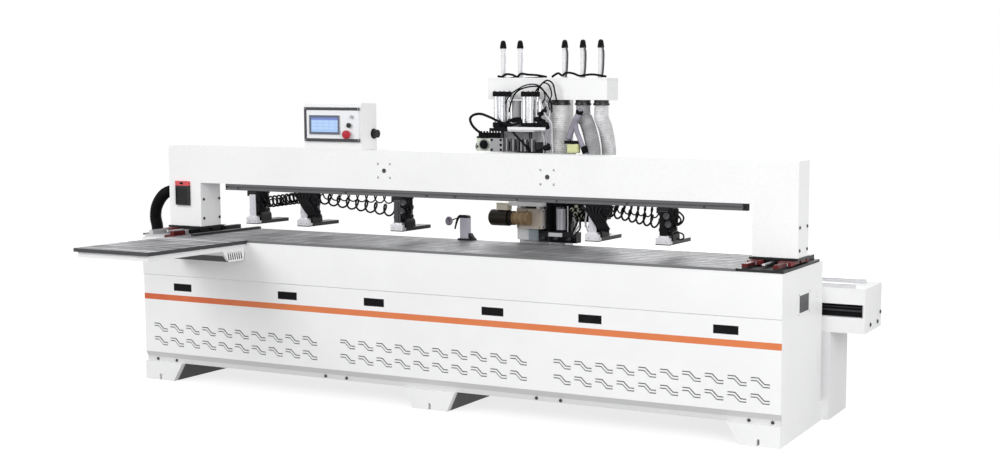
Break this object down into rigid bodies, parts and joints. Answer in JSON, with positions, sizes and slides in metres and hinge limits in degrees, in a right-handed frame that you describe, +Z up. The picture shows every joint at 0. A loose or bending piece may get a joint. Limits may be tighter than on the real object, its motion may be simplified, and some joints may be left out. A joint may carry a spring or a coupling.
{
  "type": "side hole drilling machine",
  "caption": "Long white bed with a table and front wing, a bridge with clamping feet, and a travelling head behind it that drills holes sideways into a panel's edge.",
  "frame": {"origin": "on the floor under the middle foot, at the centre of the bed's footprint", "axes": "+X along the bed towards its right end, +Y from the operator's side to the drilling head's side, +Z up"},
  "size_m": [4.44, 1.785, 2.012],
  "materials": {
    "bed_paint": "white textured powder coat with a red and orange stripe",
    "foot_paint": "white powder coat",
    "beam_paint": "white powder coat",
    "leg_paint": "light grey powder coat",
    "linear_rail": "ground steel",
    "table_metal": "grooved grey table",
    "wing_metal": "grooved grey table",
    "wing_frame_paint": "white powder coat",
    "track_steel": "dark plate with ground rails",
    "guide_plastic": "black",
    "bracket_steel": "dark paint",
    "gantry_paint": "white textured powder coat",
    "shoe_steel": "dark plate with dark red carriages",
    "rail_aluminium": "extruded aluminium",
    "control_paint": "white powder coat",
    "breaker_plastic": "black with a red top",
    "conduit_rubber": "black corrugated conduit",
    "press_body": "anodised aluminium and black fittings",
    "coil_plastic": "black coiled air hose",
    "press_pad": "milled aluminium",
    "e_stop_plastic": "red",
    "button_plastic": "dark green",
    "key_metal": "polished metal",
    "knob_plastic": "black",
    "stop_metal": "satin aluminium with a black cap",
    "carriage_steel": "dark paint",
    "manifold_paint": "white powder coat with dark collars and capped gate cylinders",
    "dust_hose_plastic": "grey ribbed hose",
    "feed_paint": "light grey paint",
    "cylinder_metal": "polished tube with black end caps",
    "air_unit_plastic": "off-white housing with black valves",
    "lift_steel": "dark paint",
    "motor_paint": "brown motor with a black fan cover and a beige gear case",
    "block_paint": "black paint",
    "chuck_steel": "turned steel"
  },
  "bodies": {
    "bed": {"bed_front": "bed_paint", "bed_top": "bed_paint", "bed_rear": "bed_paint", "bed_end_left": "bed_paint", "bed_end_right": "bed_paint", "foot_left": "foot_paint", "foot_middle": "foot_paint", "foot_right": "foot_paint", "rear_beam": "beam_paint", "rear_leg_left": "leg_paint", "rear_leg_right": "leg_paint", "x_rail_front": "linear_rail", "x_rail_rear": "linear_rail", "main_table": "table_metal", "wing_table": "wing_metal", "wing_frame": "wing_frame_paint", "slide_track_left": "track_steel", "slide_track_right": "track_steel", "stop_guide": "guide_plastic", "conduit_bracket": "bracket_steel"},
    "gantry": {"gantry_frame": "gantry_paint", "slide_shoe_left": "shoe_steel", "slide_shoe_right": "shoe_steel", "press_rail": "rail_aluminium", "control_box": "control_paint", "breaker_box": "breaker_plastic", "supply_conduit": "conduit_rubber", "press_cylinder_1": "press_body", "press_cylinder_2": "press_body", "press_cylinder_3": "press_body", "press_cylinder_4": "press_body", "press_cylinder_5": "press_body", "coil_hose_1": "coil_plastic", "coil_hose_2": "coil_plastic", "coil_hose_3": "coil_plastic"},
    "clamp_1": {"press_foot_1": "press_pad"},
    "clamp_2": {"press_foot_2": "press_pad"},
    "clamp_3": {"press_foot_3": "press_pad"},
    "clamp_4": {"press_foot_4": "press_pad"},
    "clamp_5": {"press_foot_5": "press_pad"},
    "emergency_button": {"e_stop": "e_stop_plastic"},
    "start_button": {"start_button": "button_plastic"},
    "key": {"key_switch": "key_metal"},
    "side_knob": {"side_knob": "knob_plastic"},
    "stop": {"stop_post": "stop_metal"},
    "head": {"x_carriage": "carriage_steel", "dust_manifold": "manifold_paint", "dust_hose_1": "dust_hose_plastic", "dust_hose_2": "dust_hose_plastic", "dust_hose_3": "dust_hose_plastic"},
    "feed": {"feed_slide": "feed_paint", "lift_cylinder_1": "cylinder_metal", "lift_cylinder_2": "cylinder_metal", "air_service_unit": "air_unit_plastic"},
    "lift": {"lift_slide": "lift_steel", "drive_motor": "motor_paint", "drill_block": "block_paint"},
    "spindle_1": {"drill_chuck_1": "chuck_steel"},
    "spindle_2": {"drill_chuck_2": "chuck_steel"},
    "spindle_3": {"drill_chuck_3": "chuck_steel"}
  },
  "joints": [
    {"name": "bridge_slide", "type": "slide", "parent": "bed", "child": "gantry", "axis": [0, 1, 0], "range_m": [-0.15, 0.03], "deforming": ["supply_conduit"]},
    {"name": "clamp_1_press", "type": "slide", "parent": "gantry", "child": "clamp_1", "axis": [0, 0, -1], "range_m": [0, 0.06]},
    {"name": "clamp_2_press", "type": "slide", "parent": "gantry", "child": "clamp_2", "axis": [0, 0, -1], "range_m": [0, 0.06]},
    {"name": "clamp_3_press", "type": "slide", "parent": "gantry", "child": "clamp_3", "axis": [0, 0, -1], "range_m": [0, 0.06]},
    {"name": "clamp_4_press", "type": "slide", "parent": "gantry", "child": "clamp_4", "axis": [0, 0, -1], "range_m": [0, 0.06]},
    {"name": "clamp_5_press", "type": "slide", "parent": "gantry", "child": "clamp_5", "axis": [0, 0, -1], "range_m": [0, 0.06]},
    {"name": "emergency_press", "type": "slide", "parent": "gantry", "child": "emergency_button", "axis": [0, 1, 0], "range_m": [0, 0.005], "stiffness_N_per_m": 400, "springref_m": -0.002},
    {"name": "start_press", "type": "slide", "parent": "gantry", "child": "start_button", "axis": [0, 1, 0], "range_m": [0, 0.004], "stiffness_N_per_m": 300, "springref_m": -0.002},
    {"name": "key_turn", "type": "hinge", "parent": "gantry", "child": "key", "pos_m": [-0.637, -0.109, 1.566], "axis": [0, -1, 0], "range_deg": [0, 90]},
    {"name": "side_knob_turn", "type": "hinge", "parent": "gantry", "child": "side_knob", "pos_m": [-0.586, 0.02, 1.471], "axis": [1, 0, 0], "range_deg": [0, 90]},
    {"name": "stop_lift", "type": "slide", "parent": "bed", "child": "stop", "axis": [0, 0, 1], "range_m": [-0.14, 0]},
    {"name": "head_travel", "type": "slide", "parent": "bed", "child": "head", "axis": [1, 0, 0], "range_m": [-1.7, 1.3]},
    {"name": "drill_feed", "type": "slide", "parent": "head", "child": "feed", "axis": [0, -1, 0], "range_m": [0, 0.06], "deforming": ["dust_hose_1", "dust_hose_2", "dust_hose_3"]},
    {"name": "drill_lift", "type": "slide", "parent": "feed", "child": "lift", "axis": [0, 0, 1], "range_m": [0, 0.035], "deforming": ["dust_hose_1", "dust_hose_2", "dust_hose_3"]},
    {"name": "spindle_1_spin", "type": "hinge", "parent": "lift", "child": "spindle_1", "pos_m": [0.328, 0.36, 0.888], "axis": [0, -1, 0], "continuous": true},
    {"name": "spindle_2_spin", "type": "hinge", "parent": "lift", "child": "spindle_2", "pos_m": [0.41, 0.36, 0.888], "axis": [0, -1, 0], "continuous": true},
    {"name": "spindle_3_spin", "type": "hinge", "parent": "lift", "child": "spindle_3", "pos_m": [0.492, 0.36, 0.888], "axis": [0, -1, 0], "continuous": true}
  ],
  "couplings": [
    {"joint": "spindle_2_spin", "follows": "spindle_1_spin", "ratio": -1},
    {"joint": "spindle_3_spin", "follows": "spindle_1_spin", "ratio": 1}
  ]
}
